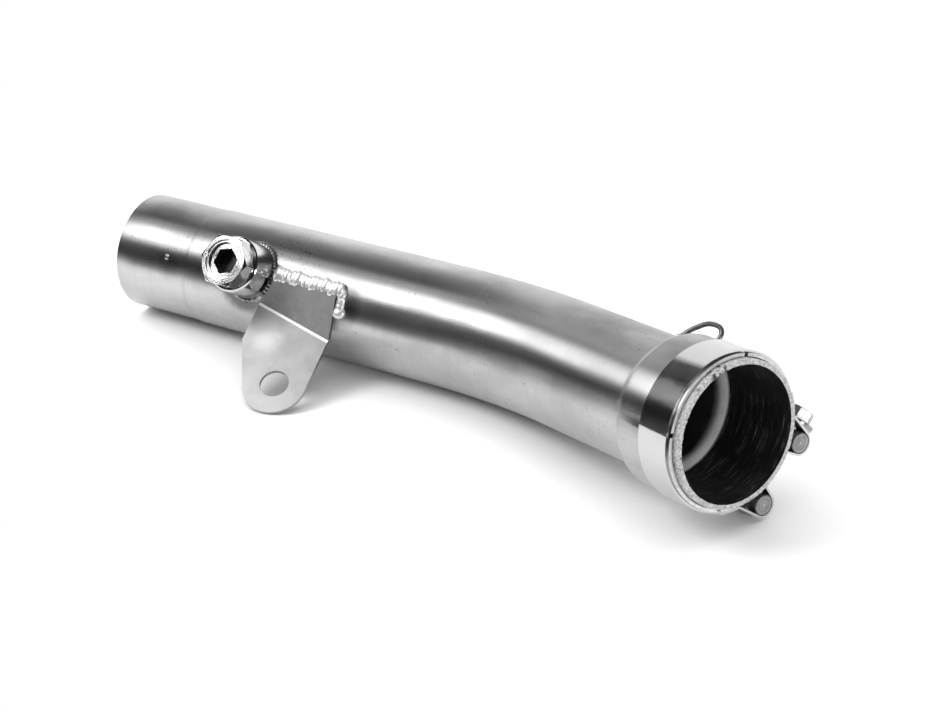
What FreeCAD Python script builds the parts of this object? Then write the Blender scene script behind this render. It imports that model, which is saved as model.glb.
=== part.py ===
import FreeCAD, Part
import math
import os
import Sketcher

# Exhaust link pipe without a catalyst: a bent tube with a sized inlet end, a swaged and
# slotted outlet held by a band clamp, a plugged sensor boss, a folded mounting bracket and
# a wire hook for a spring. The inlet mouth is centred on the origin and the straight run
# lies along +X. The pipe rests on its straight run, the bracket's tip and the clamp.

doc = FreeCAD.newDocument("LinkPipe")
sheet = doc.addObject("Spreadsheet::Sheet", "Sizes")

# Driving sizes in millimetres and degrees
drivingSizes = (
    ("seatGap", 0.1, "air between pieces that seat on one another"),
    # Tube
    ("tubeRadius", 30.0, "outer radius of the tube"),
    ("tubeWall", 1.5, "wall of the tube"),
    ("inletRadius", 29.6, "outer radius of the sized inlet end"),
    ("inletLength", 43.5, "length of the sized inlet end"),
    ("straightLength", 180.0, "inlet mouth to the start of the bend"),
    ("bendRadius", 195.0, "centreline radius of the bend"),
    ("bendAngle", 24.5, "turn of the bend"),
    ("bendTilt", 16.0, "lift of the bend's plane from level"),
    ("outletLength", 109.8, "end of the bend to the outlet mouth"),
    ("swageRadius", 34.8, "outer radius of the swaged outlet"),
    ("swageLength", 34.7, "length of the swaged outlet at full size"),
    ("flareLength", 5.0, "length of the cone that leads into the swage"),
    ("flareRounding", 3.0, "rounding at both ends of the cone"),
    ("slotWidth", 2.0, "width of the clamping slots"),
    ("slotLength", 17.5, "outlet mouth to the centre of a slot's relief hole"),
    ("slotReliefRadius", 2.5, "radius of the relief hole"),
    ("slotCount", 4, "slots around the mouth"),
    # Sleeve gasket in the outlet
    ("gasketBore", 30.6, "inner radius of the gasket"),
    ("gasketSink", 1.5, "gasket's inner end to the cone"),
    ("gasketReach", 3.1, "length of gasket that stands out of the mouth"),
    ("gasketEdge", 0.6, "broken edge of the gasket"),
    # Sensor boss and plug
    ("bossPlace", 83.2, "inlet mouth to the axis of the boss"),
    ("bossAngle", 32.6, "lift of the boss above level"),
    ("bossRadius", 14.0, "outer radius of the boss"),
    ("bossFace", 45.9, "tube axis to the face of the boss"),
    ("bossEdge", 0.8, "broken edge of the boss"),
    ("threadRadius", 9.0, "nominal radius of the sensor thread"),
    ("bossWeldRise", 1.8, "height of the weld round the boss above the tube"),
    ("bossWeldFoot", 2.16, "width of that weld at its foot"),
    ("bossWeldCrown", 0.54, "width of that weld at its top"),
    ("bossWeldDepth", 7.5, "level of that foot inside the tube's radius"),
    ("plugFlats", 24.0, "width across the flats of the plug"),
    ("plugHead", 7.2, "height of the plug's head"),
    ("plugChamferAngle", 30.0, "angle of the chamfer on the plug's corners"),
    ("plugShank", 12.0, "length of the plug's shank"),
    ("plugRimRadius", 10.2, "radius inside the raised rim"),
    ("plugRimDepth", 0.8, "depth below the raised rim"),
    ("plugDishRadius", 9.0, "radius of the dish round the socket"),
    ("plugDishDepth", 2.2, "depth of the dish round the socket"),
    ("socketFlats", 12.0, "width across the flats of the hex socket"),
    ("socketDepth", 9.0, "depth of the hex socket from the face"),
    ("socketAngle", 15.0, "turn of the socket against the head"),
    ("sealRadius", 12.3, "outer radius of the sealing ring"),
    ("sealThick", 1.5, "thickness of the sealing ring"),
    # Bracket
    ("plateThick", 2.0, "thickness of the bracket's sheet"),
    ("legAngle", 20.0, "lift of the line where the leg touches the tube"),
    ("legLeft", 94.0, "inlet mouth to the leg's left edge"),
    ("legRise", 6.8, "leg's top edge above that line"),
    ("foldDrop", 7.7, "left end of the fold below that line"),
    ("foldSkewAngle", 12.8, "slope of the fold against the tube"),
    ("foldAngle", 39.4, "turn of the fold"),
    ("foldRounding", 2.6, "inner radius of the fold"),
    ("tabCentreAcross", 36.3, "left end of the fold to the hole, along the fold"),
    ("tabCentreOut", 32.5, "fold to the hole, across the fold"),
    ("tabTipRadius", 16.0, "radius of the tab's round end"),
    ("tabRightAngle", 15.2, "slant of the tab's right edge"),
    ("tabLeftAngle", 39.3, "slant of the tab's lower left edge"),
    ("tabLeftDrop", 21.0, "fold to the corner in the left edge"),
    ("tabHoleRadius", 7.25, "radius of the mounting hole"),
    ("legWeldThroat", 0.9, "thickness of the weld over the leg's face"),
    ("legWeldLap", 2.2, "width of the weld over the leg's face"),
    ("legWeldCrown", 0.88, "thickest line of the weld below the leg's top edge"),
    ("legWeldShoulder", 0.54, "weld's shoulder outside the leg's face"),
    ("legWeldShoulderRise", 1.08, "that shoulder above the leg's top edge"),
    ("legWeldBack", 1.6, "weld's back corner behind the leg's face"),
    ("legWeldBackRise", 3.24, "that corner above the leg's top edge"),
    ("legWeldRise", 3.6, "height of the weld above the leg's top edge"),
    ("legWeldSide", 4.6, "width of the weld beside the leg's right edge"),
    ("legWeldRun", 13.5, "length of the weld down the right edge"),
    ("legWeldEnd", 0.6, "lower end of that weld behind the leg's face"),
    ("legWeldEndRise", 2.7, "height over which that end runs out"),
    # Wire hook
    ("wireRadius", 1.2, "radius of the hook's wire"),
    ("hookAngle", 27.0, "place of the hook round the outlet"),
    ("hookRootBack", 18.1, "hook's root before the cone"),
    ("hookKneeBack", 9.1, "hook's knee before the cone"),
    ("hookKneeHeight", 9.4, "knee above the tube"),
    ("hookKneeRounding", 11.0, "bend radius at the knee"),
    ("hookCrownAhead", 4.9, "hook's crown past the cone's start"),
    ("hookCrownHeight", 10.9, "crown above the tube"),
    ("hookCrownRounding", 3.6, "bend radius at the crown"),
    ("hookTipAhead", 2.8, "hook's tip past the cone's start"),
    ("hookWeldRadius", 2.3, "radius of the weld at each foot"),
    # Band clamp
    ("bandWidth", 17.4, "width of the band"),
    ("bandThick", 1.0, "thickness of the band"),
    ("bandLayer", 0.98, "spacing of the band's folded layers, which are pressed into one"),
    ("bandSetback", 1.3, "outlet mouth to the band's front edge"),
    ("clampAngle", 29.6, "turn of the clamp round the outlet"),
    ("barrelRadius", 4.75, "radius of the barrels"),
    ("barrelStand", 8.29, "middle of the band's sheet to a barrel's axis"),
    ("barrelAngle", 21.1, "half the angle between the barrels"),
    ("barrelChamfer", 0.4, "chamfer on the barrels' ends"),
    ("bandGapAngle", 13.5, "half the open angle of the band"),
    ("bandLiftAngle", 39.5, "angle at which the folded end lifts off the band"),
    ("bandTailAngle", 56.5, "angle at which the folded end stops"),
    ("screwRadius", 3.0, "nominal radius of the clamp screw"),
    ("screwFlats", 10.0, "width across the flats of the screw head"),
    ("screwHead", 5.5, "height of the screw head"),
    ("screwChamferAngle", 30.0, "angle of the chamfer on the screw head's corners"),
    ("screwEnd", 4.6, "screw past the axis of the threaded barrel"),
    ("screwRoom", 0.4, "air round the screw in the plain holes"),
    ("washerRadius", 8.0, "outer radius of the washer under the head"),
    ("washerThick", 1.6, "thickness of that washer"),
)


class Size:
    """A length, angle or count together with the sheet formula that gives it."""

    def __init__(self, value, text=None):
        self.value = float(value)
        self.text = text or repr(float(value))

    def join(self, other, sign, value):
        return Size(value, "(%s %s %s)" % (self.text, sign, other.text))

    def __add__(self, other):
        other = size(other)
        return self.join(other, "+", self.value + other.value)

    def __sub__(self, other):
        other = size(other)
        return self.join(other, "-", self.value - other.value)

    def __mul__(self, other):
        other = size(other)
        return self.join(other, "*", self.value * other.value)

    def __truediv__(self, other):
        other = size(other)
        return self.join(other, "/", self.value / other.value)

    def __radd__(self, other):
        return size(other) + self

    def __rsub__(self, other):
        return size(other) - self

    def __rmul__(self, other):
        return size(other) * self

    def __neg__(self):
        return size(0) - self


def size(number):
    return number if isinstance(number, Size) else Size(number)


def sine(angle):
    return Size(math.sin(math.radians(angle.value)), "sin(%s)" % angle.text)


def cosine(angle):
    return Size(math.cos(math.radians(angle.value)), "cos(%s)" % angle.text)


def tangent(angle):
    return Size(math.tan(math.radians(angle.value)), "tan(%s)" % angle.text)


def larger(first, second):
    text = "max(%s; %s)" % (first.text, second.text)
    return Size(max(first.value, second.value), text)


def slopeOf(rise, run):
    """The angle of a line with this rise over this run."""
    ratio = rise / run
    return Size(math.degrees(math.atan(ratio.value)), "(atan(%s) / 1 deg)" % ratio.text)


def leanTo(radius, rise, run):
    """The angle at a point between the line to a circle's centre and the line that touches it."""
    ratio = radius.value / math.hypot(rise.value, run.value)
    text = "(asin(%s / hypot(%s; %s)) / 1 deg)" % (radius.text, rise.text, run.text)
    return Size(math.degrees(math.asin(ratio)), text)


class Sizes:
    """The driving sizes, each by its own name."""


S = Sizes()
for row, (name, value, meaning) in enumerate(drivingSizes, start=1):
    sheet.set("A%d" % row, meaning)
    sheet.set("B%d" % row, str(value))
    sheet.setAlias("B%d" % row, name)
    setattr(S, name, Size(value, "Sizes." + name))
doc.recompute()

xAxis = (1, 0, 0)
yAxis = (0, 1, 0)
zAxis = (0, 0, 1)
zero = size(0)
fullTurn = 360
hexHalfAngle = size(fullTurn / 12)
cutRoom = size(1)
samePlace = 0.01


# Frames are placement formulas, joined from left to right
def frame(x=zero, y=zero, z=zero, axis=zAxis, turn=zero):
    place = ";".join(size(part).text for part in (x, y, z))
    return "placement(vector(%s); rotation(vector(%d;%d;%d); %s))" % ((place,) + axis + (turn.text,))


def chain(*frames):
    return " * ".join(frames)


# Sketch helpers: each point, radius and offset stays bound to the sheet
def attachedSketch(body, name, role, offset=None):
    sketch = body.newObject("Sketcher::SketchObject", name)
    planes = [feature for feature in body.Origin.OriginFeatures if feature.Role == role]
    sketch.AttachmentSupport = [(planes[0], "")]
    sketch.MapMode = "FlatFace"
    if offset:
        sketch.setExpression("AttachmentOffset", offset)
    return sketch


def limit(sketch, constraint, bound):
    index = sketch.addConstraint(constraint)
    sketch.setExpression("Constraints[%d]" % index, bound.text)


def pinPoint(sketch, geometry, point, x, y):
    for kind, axis, distance in (("DistanceX", -2, size(x)), ("DistanceY", -1, size(y))):
        if abs(distance.value) < 1e-9:
            sketch.addConstraint(Sketcher.Constraint("PointOnObject", geometry, point, axis))
        elif distance.value < 0:
            far = -distance
            limit(sketch, Sketcher.Constraint(kind, geometry, point, -1, 1, far.value), far)
        else:
            limit(sketch, Sketcher.Constraint(kind, -1, 1, geometry, point, distance.value), distance)


def vector(x, y):
    return FreeCAD.Vector(size(x).value, size(y).value, 0)


def polygon(sketch, corners):
    first = sketch.GeometryCount
    count = len(corners)
    for start, end in zip(corners, corners[1:] + corners[:1]):
        sketch.addGeometry(Part.LineSegment(vector(*start), vector(*end)))
    for step, corner in enumerate(corners):
        following = first + (step + 1) % count
        sketch.addConstraint(Sketcher.Constraint("Coincident", first + step, 2, following, 1))
        pinPoint(sketch, first + step, 1, *corner)


def rectangle(sketch, left, right, low, high):
    polygon(sketch, [(left, low), (right, low), (right, high), (left, high)])


def circle(sketch, x, y, radius):
    round_ = sketch.addGeometry(Part.Circle(vector(x, y), FreeCAD.Vector(0, 0, 1), radius.value))
    pinPoint(sketch, round_, 3, x, y)
    limit(sketch, Sketcher.Constraint("Radius", round_, radius.value), radius)


def hexagon(sketch, flats, turn):
    corner = flats / (2 * cosine(hexHalfAngle))
    angles = [turn + 2 * step * hexHalfAngle for step in range(6)]
    polygon(sketch, [(corner * cosine(angle), corner * sine(angle)) for angle in angles])


def roundedPath(sketch, points, roundings):
    """Straight runs between the points, with a tangent arc inside each inner point."""
    places = [vector(*point) for point in points]
    arcs = []
    ends = [places[0]]
    for before, corner, after, rounding in zip(places, places[1:], places[2:], roundings):
        back = (before - corner).normalize()
        on = (after - corner).normalize()
        half = back.getAngle(on) / 2
        reach = rounding.value / math.tan(half)
        middle = corner + (back + on).normalize() * (rounding.value / math.sin(half) - rounding.value)
        arcs.append(Part.Arc(corner + back * reach, middle, corner + on * reach))
        ends += [corner + back * reach, corner + on * reach]
    ends.append(places[-1])
    runs = [sketch.addGeometry(Part.LineSegment(a, b)) for a, b in zip(ends[::2], ends[1::2])]
    for step, (arc, rounding) in enumerate(zip(arcs, roundings)):
        bend = sketch.addGeometry(arc)
        corner = places[step + 1]
        turnsLeft = (corner - places[step]).cross(places[step + 2] - corner).z > 0
        arcStart, arcEnd = (1, 2) if turnsLeft else (2, 1)
        sketch.addConstraint(Sketcher.Constraint("Tangent", runs[step], 2, bend, arcStart))
        sketch.addConstraint(Sketcher.Constraint("Tangent", runs[step + 1], 1, bend, arcEnd))
        limit(sketch, Sketcher.Constraint("Radius", bend, rounding.value), rounding)
        mark = sketch.addGeometry(Part.Point(corner), True)
        pinPoint(sketch, mark, 1, *points[step + 1])
        sketch.addConstraint(Sketcher.Constraint("PointOnObject", mark, 1, runs[step]))
        sketch.addConstraint(Sketcher.Constraint("PointOnObject", mark, 1, runs[step + 1]))
    pinPoint(sketch, runs[0], 1, *points[0])
    pinPoint(sketch, runs[-1], 2, *points[-1])


# Feature helpers
def newBody(label, place):
    body = doc.addObject("PartDesign::Body", label)
    body.Label = label
    body.setExpression("Placement", place)
    return body


def extruded(kind, body, name, sketch, length=None, reverse=False, both=False):
    feature = body.newObject("PartDesign::" + kind, name)
    feature.Profile = sketch
    feature.Reversed = reverse
    if length is None:
        feature.Type = "ThroughAll"
    else:
        feature.Length = length.value
        feature.setExpression("Length", length.text)
    if both:
        feature.Midplane = True
    doc.recompute()
    return feature


def pad(body, name, sketch, length, **options):
    return extruded("Pad", body, name, sketch, length, **options)


def pocket(body, name, sketch, length=None, **options):
    before = body.Shape.Volume
    feature = extruded("Pocket", body, name, sketch, length, **options)
    if body.Shape.Volume >= before:
        raise RuntimeError(name + " cuts nothing")
    return feature


def turned(kind, body, name, sketch, axis, angle=None, reverse=False):
    feature = body.newObject("PartDesign::" + kind, name)
    feature.Profile = sketch
    feature.ReferenceAxis = (sketch, [axis])
    feature.Reversed = reverse
    feature.Angle = fullTurn
    if angle is not None:
        feature.setExpression("Angle", angle.text)
    doc.recompute()
    return feature


def dressed(kind, body, name, radius, chosen):
    """A fillet or chamfer on the edges of the body that the test chooses."""
    base = body.Tip
    edges = ["Edge%d" % (i + 1) for i, edge in enumerate(base.Shape.Edges) if chosen(edge)]
    if not edges:
        raise RuntimeError(name + " finds no edge")
    feature = body.newObject("PartDesign::" + kind, name)
    feature.Base = (base, edges)
    bound = "Radius" if kind == "Fillet" else "Size"
    feature.setExpression(bound, radius.text)
    doc.recompute()
    return feature


def isRing(edge, radius):
    curve = edge.Curve
    return isinstance(curve, Part.Circle) and abs(curve.Radius - radius.value) < samePlace


# Shared frames and places
outletStartX = S.straightLength + S.bendRadius * sine(S.bendAngle)
outletStartY = -(S.bendRadius * (1 - cosine(S.bendAngle)))
bendFrame = frame(axis=xAxis, turn=-S.bendTilt)
outletInBend = frame(x=outletStartX, y=outletStartY, turn=-S.bendAngle)
outletFrame = chain(bendFrame, outletInBend)
bossFrame = frame(x=S.bossPlace, axis=xAxis, turn=-S.bossAngle)
legFrame = frame(axis=xAxis, turn=-S.legAngle)

flareEnd = S.outletLength - S.swageLength
flareStart = flareEnd - S.flareLength
bandFront = S.outletLength - S.bandSetback
bandRear = bandFront - S.bandWidth
bandMiddle = bandFront - S.bandWidth / 2


# Tube: sized inlet, straight run, bend, flare, swaged and slotted outlet
def makeTube():
    body = newBody("tube", bendFrame)
    route = attachedSketch(body, "TubeRoute", "XY_Plane")
    bendStart = (S.straightLength, zero)
    bendEnd = (outletStartX, outletStartY)
    runEnd = (
        outletStartX + flareStart * cosine(S.bendAngle),
        outletStartY - flareStart * sine(S.bendAngle),
    )
    bendCentre = FreeCAD.Vector(S.straightLength.value, -S.bendRadius.value, 0)
    bendCircle = Part.Circle(bendCentre, FreeCAD.Vector(0, 0, 1), S.bendRadius.value)
    bendFrom = math.radians(90 - S.bendAngle.value)
    inletRun = route.addGeometry(Part.LineSegment(vector(0, 0), vector(*bendStart)))
    bend = route.addGeometry(Part.ArcOfCircle(bendCircle, bendFrom, math.radians(90)))
    outletRun = route.addGeometry(Part.LineSegment(vector(*bendEnd), vector(*runEnd)))
    pinPoint(route, inletRun, 1, zero, zero)
    pinPoint(route, inletRun, 2, *bendStart)
    route.addConstraint(Sketcher.Constraint("Tangent", inletRun, 2, bend, 2))
    route.addConstraint(Sketcher.Constraint("Tangent", outletRun, 1, bend, 1))
    limit(route, Sketcher.Constraint("Radius", bend, S.bendRadius.value), S.bendRadius)
    pinPoint(route, outletRun, 2, *runEnd)
    section = attachedSketch(body, "TubeSection", "YZ_Plane")
    circle(section, zero, zero, S.tubeRadius)
    circle(section, zero, zero, S.tubeRadius - S.tubeWall)
    doc.recompute()
    run = body.newObject("PartDesign::AdditivePipe", "BentRun")
    run.Profile = section
    run.Spine = (route, ["Edge1", "Edge2", "Edge3"])
    doc.recompute()

    swage = attachedSketch(body, "SwageSection", "XY_Plane", outletInBend)
    bore = S.swageRadius - S.tubeWall
    polygon(swage, [
        (flareStart, S.tubeRadius - S.tubeWall),
        (flareStart, S.tubeRadius),
        (flareEnd, S.swageRadius),
        (S.outletLength, S.swageRadius),
        (S.outletLength, bore),
        (flareEnd, bore),
    ])
    turned("Revolution", body, "Swage", swage, "H_Axis")
    placeInOutlet = outletPlacement().multVec
    rings = [
        (placeInOutlet(vector(flareStart, 0)), S.tubeRadius),
        (placeInOutlet(vector(flareEnd, 0)), S.swageRadius),
    ]

    def flareEdge(edge):
        return any(
            isRing(edge, radius) and (edge.Curve.Center - centre).Length < samePlace
            for centre, radius in rings
        )

    dressed("Fillet", body, "FlareRounding", S.flareRounding, flareEdge)

    sized = attachedSketch(body, "InletSection", "XY_Plane")
    rectangle(sized, zero, S.inletLength, S.inletRadius, S.tubeRadius + cutRoom)
    turned("Groove", body, "SizedInlet", sized, "H_Axis")

    slot = attachedSketch(body, "SlotOutline", "XY_Plane", outletInBend)
    slotStart = S.outletLength - S.slotLength
    halfSlot = S.slotWidth / 2
    rectangle(slot, slotStart, S.outletLength + cutRoom, -halfSlot, halfSlot)
    slotCut = pocket(body, "Slot", slot)
    relief = attachedSketch(body, "ReliefOutline", "XY_Plane", outletInBend)
    circle(relief, slotStart, zero, S.slotReliefRadius)
    reliefCut = pocket(body, "Relief", relief)
    around = body.newObject("PartDesign::PolarPattern", "SlotsAround")
    around.Originals = [slotCut, reliefCut]
    around.Axis = (slot, ["H_Axis"])
    around.Angle = fullTurn
    around.setExpression("Occurrences", S.slotCount.text)
    body.Tip = around
    doc.recompute()

    portFrame = frame(x=S.bossPlace, axis=xAxis, turn=S.bendTilt - S.bossAngle)
    port = attachedSketch(body, "PortOutline", "XZ_Plane", portFrame)
    circle(port, zero, zero, S.threadRadius)
    pocket(body, "SensorPort", port, reverse=True)
    return body


def outletPlacement():
    """The outlet's frame inside the tube's own frame, as numbers."""
    turn = FreeCAD.Rotation(FreeCAD.Vector(0, 0, 1), -S.bendAngle.value)
    return FreeCAD.Placement(vector(outletStartX, outletStartY), turn)


# Sleeve gasket that seals the next pipe in the swaged outlet
def makeGasket():
    body = newBody("gasket_sleeve", outletFrame)
    section = attachedSketch(body, "SleeveSection", "XY_Plane")
    outer = S.swageRadius - S.tubeWall - S.seatGap
    inner = S.gasketBore
    rear = flareEnd + S.gasketSink
    front = S.outletLength + S.gasketReach
    edge = S.gasketEdge
    polygon(section, [
        (rear, inner), (rear, outer), (front - edge, outer), (front, outer - edge),
        (front, inner + edge), (front - edge, inner),
    ])
    turned("Revolution", body, "Sleeve", section, "H_Axis")
    return body


# Sensor boss, coped to the tube, with its weld, plug and sealing ring
bossWeldToe = S.bossRadius + S.bossWeldFoot


def copeToTube(body, name, reach):
    """Cuts the tube's round out of a piece that sits on it."""
    section = attachedSketch(body, name + "Outline", "YZ_Plane")
    circle(section, zero, zero, S.tubeRadius)
    return pocket(body, name, section, 2 * reach, both=True)


def makeBoss():
    body = newBody("sensor_boss", bossFrame)
    outline = attachedSketch(body, "BossOutline", "XZ_Plane")
    circle(outline, zero, zero, S.bossRadius)
    pad(body, "Boss", outline, S.bossFace)
    copeToTube(body, "BossCope", 2 * S.bossRadius)
    bore = attachedSketch(body, "BossBore", "XZ_Plane")
    circle(bore, zero, zero, S.threadRadius)
    pocket(body, "BossThread", bore, reverse=True)

    def faceRim(edge):
        return isRing(edge, S.bossRadius) and abs(edge.Curve.Center.y + S.bossFace.value) < samePlace

    dressed("Chamfer", body, "BossEdge", S.bossEdge, faceRim)
    return body


def makeBossWeld():
    body = newBody("sensor_boss_weld", bossFrame)
    section = attachedSketch(body, "BossWeldSection", "XY_Plane")
    throat = S.bossRadius + S.bossWeldCrown
    low = S.bossWeldDepth - S.tubeRadius
    high = -(S.tubeRadius + S.bossWeldRise)
    polygon(section, [(S.bossRadius, low), (bossWeldToe, low), (throat, high), (S.bossRadius, high)])
    turned("Revolution", body, "BossWeldRing", section, "V_Axis")
    copeToTube(body, "BossWeldCope", 2 * S.bossRadius)
    crest = attachedSketch(body, "BossWeldCrest", "YZ_Plane")
    circle(crest, zero, zero, S.tubeRadius + S.bossWeldRise)
    circle(crest, zero, zero, S.tubeRadius * 2)
    pocket(body, "BossWeldTop", crest, 2 * S.tubeRadius, both=True)
    return body


def cornerChamfer(body, name, role, flats, face, angle, side):
    """Cuts the corners of a hexagon head at its face, on the given side of the sketch."""
    section = attachedSketch(body, name + "Section", role)
    flat = flats / 2
    reach = flats / cosine(hexHalfAngle) - flats
    low = side * (face - reach * tangent(angle))
    polygon(section, [(flat, side * face), (flat + reach, side * face), (flat + reach, low)])
    turned("Groove", body, name, section, "V_Axis")


def makePlug():
    body = newBody("sensor_plug", bossFrame)
    headBase = S.bossFace + S.sealThick
    headFace = headBase + S.plugHead
    outline = attachedSketch(body, "HeadOutline", "XZ_Plane", frame(z=headBase))
    hexagon(outline, S.plugFlats, zero)
    pad(body, "Head", outline, S.plugHead)
    shank = attachedSketch(body, "ShankOutline", "XZ_Plane", frame(z=headBase))
    circle(shank, zero, zero, S.threadRadius - S.seatGap)
    pad(body, "Shank", shank, S.plugShank + S.sealThick, reverse=True)

    cornerChamfer(body, "HeadChamfer", "XY_Plane", S.plugFlats, headFace, S.plugChamferAngle, -1)
    rim = attachedSketch(body, "RimOutline", "XZ_Plane", frame(z=headFace))
    circle(rim, zero, zero, S.plugRimRadius)
    pocket(body, "Rim", rim, S.plugRimDepth)
    dish = attachedSketch(body, "DishOutline", "XZ_Plane", frame(z=headFace))
    circle(dish, zero, zero, S.plugDishRadius)
    pocket(body, "Dish", dish, S.plugDishDepth)
    socket = attachedSketch(body, "SocketOutline", "XZ_Plane", frame(z=headFace))
    hexagon(socket, S.socketFlats, S.socketAngle)
    pocket(body, "Socket", socket, S.socketDepth)
    return body


def makeSeal():
    body = newBody("plug_seal", bossFrame)
    outline = attachedSketch(body, "SealOutline", "XZ_Plane", frame(z=S.bossFace))
    circle(outline, zero, zero, S.sealRadius)
    circle(outline, zero, zero, S.threadRadius)
    pad(body, "Seal", outline, S.sealThick)
    return body


# Bracket: a leg welded to the tube's side, a skewed fold and a tab with a round end
foldLeft = S.legLeft
legFace = S.tubeRadius + S.seatGap + S.plateThick
bracketFrame = chain(
    legFrame,
    frame(x=foldLeft, y=-legFace, z=-S.foldDrop, axis=yAxis, turn=S.foldSkewAngle),
)
foldSetback = S.foldRounding * tangent(S.foldAngle / 2)
tabRightRun = (S.tabCentreOut - S.tabTipRadius * sine(S.tabRightAngle)) / cosine(S.tabRightAngle)
foldWidth = (
    S.tabCentreAcross + S.tabTipRadius * cosine(S.tabRightAngle) - tabRightRun * sine(S.tabRightAngle)
)
legRight = foldLeft + foldWidth * cosine(S.foldSkewAngle)
bossOnLeg = frame(x=S.bossPlace, axis=xAxis, turn=S.legAngle - S.bossAngle)


def clearOfBoss(body, name, place):
    """Cuts the room of the boss and its weld out of a piece beside them."""
    room = attachedSketch(body, name, "XZ_Plane", place)
    circle(room, zero, zero, bossWeldToe + S.seatGap)
    pocket(body, name + "Cut", room, 4 * S.bossFace, both=True)


def makeBracket():
    body = newBody("bracket", bracketFrame)
    rise = S.legRise + S.foldDrop
    across = foldWidth * cosine(S.foldSkewAngle)

    def onLeg(x, up):
        """A point of the leg, given along and across the tube, in the fold's frame."""
        skew = S.foldSkewAngle
        return x * cosine(skew) - up * sine(skew), x * sine(skew) + up * cosine(skew)

    leg = attachedSketch(body, "LegOutline", "XZ_Plane")
    lowRight = (foldWidth - foldSetback * tangent(S.foldSkewAngle), foldSetback)
    polygon(leg, [(zero, foldSetback), lowRight, onLeg(across, rise), onLeg(zero, rise)])
    pad(body, "Leg", leg, S.plateThick, reverse=True)

    foldSection = attachedSketch(body, "FoldSection", "XY_Plane", frame(y=-S.foldRounding, z=foldSetback))
    rectangle(foldSection, zero, foldWidth, S.foldRounding, S.foldRounding + S.plateThick)
    turned("Revolution", body, "Fold", foldSection, "H_Axis", S.foldAngle, reverse=True)

    tabFrame = frame(axis=xAxis, turn=-S.foldAngle)
    across = S.tabCentreAcross
    out = -S.tabCentreOut
    radius = S.tabTipRadius
    rightTouch = (across + radius * cosine(S.tabRightAngle), out + radius * sine(S.tabRightAngle))
    leftTouch = (across - radius * cosine(S.tabLeftAngle), out - radius * sine(S.tabLeftAngle))
    leftRun = (-S.tabLeftDrop - leftTouch[1]) / cosine(S.tabLeftAngle)
    leftCorner = (leftTouch[0] - leftRun * sine(S.tabLeftAngle), -S.tabLeftDrop)
    tab = attachedSketch(body, "TabOutline", "XZ_Plane", tabFrame)
    polygon(tab, [
        (zero, -foldSetback), (foldWidth, -foldSetback), rightTouch, leftTouch, leftCorner,
    ])
    pad(body, "Tab", tab, S.plateThick, reverse=True)
    tip = attachedSketch(body, "TipOutline", "XZ_Plane", tabFrame)
    circle(tip, across, out, radius)
    pad(body, "Tip", tip, S.plateThick, reverse=True)
    hole = attachedSketch(body, "HoleOutline", "XZ_Plane", tabFrame)
    circle(hole, across, out, S.tabHoleRadius)
    pocket(body, "Hole", hole, S.plateThick)
    legOnSketch = chain(frame(turn=S.foldSkewAngle), frame(x=-foldLeft, y=S.foldDrop, z=-legFace))
    clearOfBoss(body, "BossRoom", chain(legOnSketch, bossOnLeg))
    return body


def makeBracketWeld():
    body = newBody("bracket_weld", legFrame)
    back = S.tubeRadius + S.seatGap
    top = S.legRise
    face = -legFace
    hump = [
        (face - S.legWeldThroat, top - S.legWeldCrown),
        (face - S.legWeldShoulder, top + S.legWeldShoulderRise),
        (face + S.legWeldBack, top + S.legWeldBackRise),
        (S.plateThick - back, top + S.legWeldRise),
        (S.plateThick * 2 - back, top + S.legWeldRise),
    ]
    along = attachedSketch(body, "TopBeadSection", "YZ_Plane", frame(z=foldLeft))
    overLeg = [
        (S.plateThick * 2 - back, top - S.legWeldLap),
        (-back, top - S.legWeldLap),
        (-back, top),
        (face, top),
        (face, top - S.legWeldLap),
    ]
    polygon(along, hump + overLeg)
    pad(body, "TopBead", along, legRight - foldLeft)
    side = attachedSketch(body, "SideBeadSection", "YZ_Plane", frame(z=legRight))
    low = top - S.legWeldRun
    pastLeg = [
        (S.plateThick * 2 - back, low),
        (S.plateThick / 2 - back, low),
        (face + S.legWeldEnd, low + S.legWeldEndRise),
    ]
    polygon(side, hump + pastLeg)
    pad(body, "SideBead", side, S.legWeldSide)
    copeToTube(body, "BracketWeldCope", 2 * legRight)
    clearOfBoss(body, "WeldRoom", bossOnLeg)
    return body


# Wire hook across the flare, with a weld at each foot
hookFrame = chain(outletFrame, frame(axis=xAxis, turn=-S.hookAngle))
hookRoot = flareStart - S.hookRootBack
hookTip = flareStart + S.hookTipAhead
coneAtTip = S.tubeRadius + (S.swageRadius - S.tubeRadius) * S.hookTipAhead / S.flareLength
outletOutline = [
    (zero, zero),
    (zero, S.tubeRadius),
    (flareStart, S.tubeRadius),
    (flareEnd, S.swageRadius),
    (S.outletLength, S.swageRadius),
    (S.outletLength, zero),
]


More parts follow.
